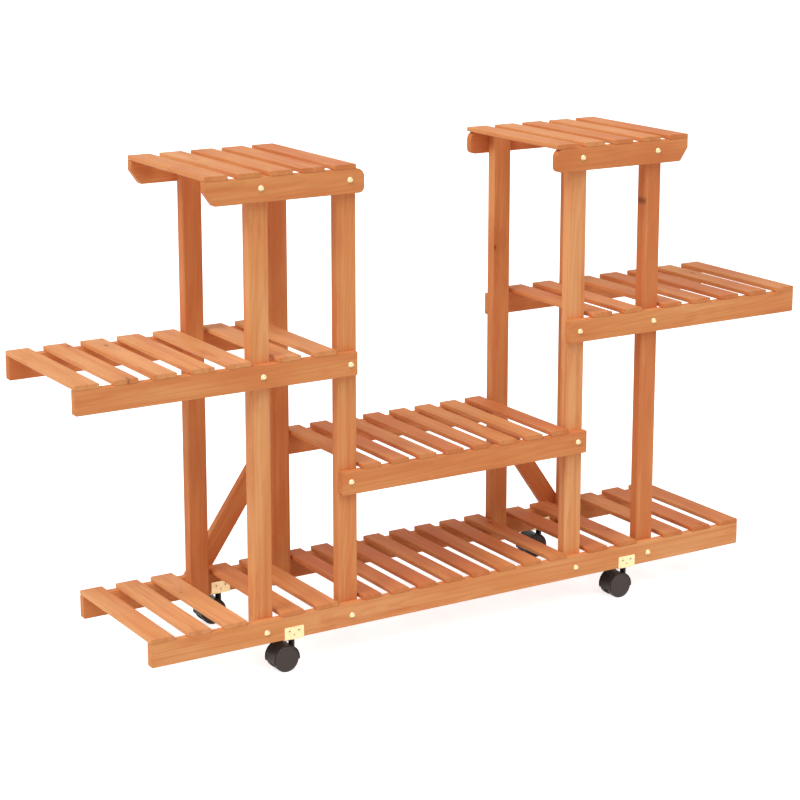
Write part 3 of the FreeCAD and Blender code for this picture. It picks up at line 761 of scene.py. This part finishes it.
def swept(inner, outer, half_width, cells, shape_edge):
    """A strip from the inner to the outer radius, swept round the axle over the hood's angles."""
    bpy.ops.object.select_all(action="DESELECT")
    bpy.ops.mesh.primitive_grid_add(x_subdivisions=1, y_subdivisions=cells, size=1)
    piece = bpy.context.object
    piece.scale = (outer - inner, 2 * half_width, 1)
    piece.location = ((inner + outer) / 2, 0, 0)
    bpy.ops.object.transform_apply(location=True, rotation=True, scale=True)
    start_shaping(piece)
    shape_edge(piece)
    bpy.ops.mesh.select_all(action="SELECT")
    bpy.ops.mesh.dissolve_faces()
    bpy.ops.mesh.delete(type="ONLY_FACE")
    bpy.ops.mesh.select_all(action="SELECT")
    bpy.ops.transform.rotate(value=HOOD_START, orient_axis="Y", center_override=(0, 0, 0))
    bpy.ops.mesh.spin(steps=HOOD_STEPS, angle=HOOD_SWEEP, center=(0, 0, 0), axis=(0, 1, 0))
    for angle in (HOOD_START, HOOD_START + HOOD_SWEEP):
        across = Vector((math.sin(angle), 0, -math.cos(angle)))
        along = Vector((math.cos(angle), 0, math.sin(angle)))
        pick(piece, "EDGE", lambda edge: all(
            abs(point.co.dot(across)) < SAME_POINT and point.co.dot(along) > -SAME_POINT
            for point in edge.verts
        ))
        bpy.ops.mesh.edge_face_add()
    return piece


def shape_hood_edge(piece):
    """Sink the hood's skin between its two beads, most of all in the middle."""
    width = piece.dimensions.y
    bead_edge = width / 2 - HOOD_BEAD_WIDTH
    outer = max(point.co.x for point in bmesh.from_edit_mesh(piece.data).verts)
    cell = width / HOOD_CELLS
    for station in range(1, HOOD_CELLS):
        y = -width / 2 + station * cell
        pick(piece, "VERT", lambda point: (
            point.co.x > outer - NEARLY and abs(point.co.y - y) < cell / 4
        ))
        bed = math.cos(math.pi * y / width) ** 2
        sideways = math.copysign(bead_edge - abs(y), y) if station in (1, HOOD_CELLS - 1) else 0
        bpy.ops.transform.translate(value=(-HOOD_SKIN_DEPTH - HOOD_VALLEY_DEPTH * bed, sideways, 0))


def plain_edge(_piece):
    """Leave a strip as it is."""


def combine(piece, tool, way):
    """Join another solid to a piece or cut it out, and use the other up."""
    bpy.ops.object.select_all(action="DESELECT")
    piece.select_set(True)
    bpy.context.view_layer.objects.active = piece
    bpy.ops.object.modifier_add(type="BOOLEAN")
    cut = piece.modifiers[-1]
    cut.operation = way
    cut.solver = "EXACT"
    cut.object = tool
    bpy.ops.object.modifier_apply(modifier=cut.name)
    bpy.data.objects.remove(tool)


def make_housing(hood_radius, half_width, neck_top):
    """A caster's hood, web, boss and neck, with the axle along Y through the origin."""
    hood = swept(hood_radius - HOOD_WALL, hood_radius, half_width, HOOD_CELLS, shape_hood_edge)
    end_shaping(hood)
    mid_wall = (HOOD_WALL + HOOD_SKIN_DEPTH + HOOD_VALLEY_DEPTH) / 2
    web = swept(0, hood_radius - mid_wall, WEB_HALF_THICKNESS, 1, plain_edge)
    end_shaping(web)
    boss = new_cylinder(BOSS_RADIUS, -WEB_HALF_THICKNESS + NEARLY, WEB_HALF_THICKNESS - NEARLY)
    pick(boss, "FACE", lambda face: is_top(face) or is_bottom(face))
    bpy.ops.mesh.bevel(offset=BOSS_EASING, segments=2, affect="EDGES")
    bpy.ops.mesh.select_all(action="SELECT")
    bpy.ops.transform.rotate(value=math.pi / 2, orient_axis="X", center_override=(0, 0, 0))
    end_shaping(boss)
    neck = new_cylinder(NECK_RADIUS, NECK_FOOT, neck_top - COLLAR_STEP)
    pick(neck, "FACE", is_top)
    bpy.ops.mesh.inset(thickness=COLLAR_STEP)
    push_out(COLLAR_STEP)
    bpy.ops.mesh.select_all(action="SELECT")
    bpy.ops.transform.translate(value=(NECK_SETBACK, 0, 0))
    end_shaping(neck)
    bore = new_cylinder(PIN_BORE_RADIUS, PIN_BORE_FOOT, neck_top + COLLAR_STEP)
    bpy.ops.mesh.select_all(action="SELECT")
    bpy.ops.transform.translate(value=(NECK_SETBACK, 0, 0))
    end_shaping(bore)
    for part in (web, boss, neck):
        combine(hood, part, "UNION")
    combine(hood, bore, "DIFFERENCE")
    bpy.ops.object.shade_smooth_by_angle(angle=math.radians(SMOOTH_ANGLE))
    return hood


hood_plastic = plastic("caster_black", HOOD_BLACK, 0.30, 0.35)
for place_name in PLACES:
    node = place_name + "_caster_housing"
    low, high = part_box(node)
    radius = (high.x - low.x) / 2
    axle_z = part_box(place_name + "_caster_axle")[0].z + AXLE_RADIUS
    faces = [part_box(place_name + "_caster_" + side + "_wheel") for side in ("front", "rear")]
    half_width = (faces[1][1].y - faces[0][0].y) / 2 - HOOD_SHORT_OF_WHEEL
    housing = make_housing(radius, half_width, high.z - axle_z)
    centre = Vector(((low.x + high.x) / 2, (low.y + high.y) / 2, axle_z))
    name = place_name + "_hood"
    body = place_name + "_caster"
    copy = put_copy(housing, name, centre, UP, body, hood_plastic)
    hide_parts(node)
    bpy.data.objects.remove(housing)


# The wheels. Two black nylon wheels to a caster, each turning on its end of the axle. The tread is
# plain with rounded shoulders, and the outer face is a shallow dish round a low hub.
WHEEL_BLACK = (0.062, 0.047, 0.041, 1)
WHEEL_EDGES = 72
SHOULDER = 0.0018
INNER_SHOULDER = 0.0005
RIM_WIDTH = 0.0012
DISH_DEPTH = 0.0006
HUB_RADIUS = 0.0052
HUB_RISE = 0.0004
BORE_RADIUS = 0.00205
BORE_SHORT_OF_FACE = 0.0017


def make_wheel(radius, width):
    """A wheel with its outer face at Z = 0 and its inner one below, bored from the inside."""
    wheel = new_cylinder(radius, -width, 0, WHEEL_EDGES)
    pick(wheel, "FACE", is_top)
    bpy.ops.mesh.bevel(offset=SHOULDER, segments=4, profile=0.5, affect="EDGES")
    pick(wheel, "FACE", lambda face: is_top(face) and face.calc_center_median().z > -NEARLY)
    bpy.ops.mesh.inset(thickness=RIM_WIDTH)
    bpy.ops.mesh.inset(thickness=DISH_DEPTH, depth=-DISH_DEPTH)
    bpy.ops.mesh.inset(thickness=radius - SHOULDER - RIM_WIDTH - DISH_DEPTH - HUB_RADIUS)
    bpy.ops.mesh.inset(thickness=HUB_RISE, depth=HUB_RISE)
    bpy.ops.mesh.inset(thickness=HUB_RADIUS / 2)
    bpy.ops.mesh.inset(thickness=HUB_RISE / 2, depth=-HUB_RISE / 2)
    pick(wheel, "FACE", is_bottom)
    bpy.ops.mesh.inset(thickness=radius - BORE_RADIUS)
    push_out(width - BORE_SHORT_OF_FACE)
    pick(wheel, "EDGE", lambda edge: all(
        point.co.z < -width + NEARLY and point.co.to_2d().length > radius - NEARLY
        for point in edge.verts
    ))
    bpy.ops.mesh.bevel(offset=INNER_SHOULDER, segments=2, affect="EDGES")
    end_shaping(wheel)
    return wheel


wheel_plastic = plastic("wheel_black", WHEEL_BLACK, 0.40, 0.35)
low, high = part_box("left_front_caster_front_wheel")
wheel = make_wheel((high.z - low.z) / 2, high.y - low.y)
for place_name in PLACES:
    for side, outwards in (("front", -BACK), ("rear", BACK)):
        node = place_name + "_caster_" + side + "_wheel"
        low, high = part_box(node)
        face = low.y if side == "front" else high.y
        centre = Vector(((low.x + high.x) / 2, face, (low.z + high.z) / 2))
        name = place_name + "_" + side + "_wheel"
        copy = put_copy(wheel, name, centre, outwards, node, wheel_plastic)
        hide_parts(node)
bpy.data.objects.remove(wheel)


# The floor and the light. A plain pale floor, two broad soft lights, one high on the left and one
# high in front, and an even white surround that metal and lacquer show too.
FLOOR_SIZE = 60.0
FLOOR_GLOW = 0.74
FLOOR_PAINT = (0.86, 0.86, 0.86, 1)
SURROUND_FOR_LIGHT = 0.32
SOFT_LIGHTS = (
    ("left_light", Vector((-0.85, -0.12, 0.80)), 1.48, 32.0),
    ("front_light", Vector((-0.10, -0.58, 0.85)), 1.24, 48.0),
)
bpy.ops.object.select_all(action="DESELECT")
bpy.ops.mesh.primitive_plane_add(size=FLOOR_SIZE, location=(0, 0, 0))
floor = bpy.context.object
floor.name = "floor"
floor_paint, tree, shader = new_material("floor_paint")
shader.inputs["Base Color"].default_value = FLOOR_PAINT
shader.inputs["Roughness"].default_value = 0.9
shader.inputs["Specular IOR Level"].default_value = 0.0
seen = tree.nodes.new("ShaderNodeLightPath")
bright = calc(tree, "MAXIMUM", seen.outputs["Is Camera Ray"], seen.outputs["Is Glossy Ray"])
shader.inputs["Emission Color"].default_value = (1, 1, 1, 1)
put(tree, shader.inputs["Emission Strength"], calc(tree, "MULTIPLY", bright, FLOOR_GLOW))
floor.data.materials.append(floor_paint)
floor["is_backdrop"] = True

world = bpy.data.worlds.new("surround")
bpy.context.scene.world = world
world.use_nodes = True
tree = world.node_tree
background = next(node for node in tree.nodes if node.type == "BACKGROUND")
background.inputs["Color"].default_value = (1, 1, 1, 1)
seen = tree.nodes.new("ShaderNodeLightPath")
direct = calc(tree, "MAXIMUM", seen.outputs["Is Camera Ray"], seen.outputs["Is Glossy Ray"])
direct = calc(tree, "MAXIMUM", direct, seen.outputs["Is Transmission Ray"])
more = calc(tree, "MULTIPLY_ADD", direct, 1 - SURROUND_FOR_LIGHT, SURROUND_FOR_LIGHT)
put(tree, background.inputs["Strength"], more)

for name, direction, strength, softness in SOFT_LIGHTS:
    light_data = bpy.data.lights.new(name, "SUN")
    light_data.energy = strength
    light_data.angle = math.radians(softness)
    light = bpy.data.objects.new(name, light_data)
    bpy.context.scene.collection.objects.link(light)
    light.rotation_euler = direction.to_track_quat("Z", "Y").to_euler()

# The camera stands to the left in front and looks down a little.
CAMERA_PLACE = (-1.7999, -2.8363, 1.2210)
CAMERA_LENS = 99.06
LOOK_DOWN = 12.58
LOOK_RIGHT = 31.758
camera_data = bpy.data.cameras.new("camera")
camera_data.lens = CAMERA_LENS
camera_data.sensor_width = 36.0
camera_data.shift_y = -0.1
camera_data.clip_end = 80.0
camera = bpy.data.objects.new("camera", camera_data)
bpy.context.scene.collection.objects.link(camera)
camera.location = CAMERA_PLACE
camera.rotation_euler = (math.radians(90 - LOOK_DOWN), 0, math.radians(-LOOK_RIGHT))
bpy.context.scene.camera = camera
bpy.context.scene.view_settings.view_transform = "Standard"

low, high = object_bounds()
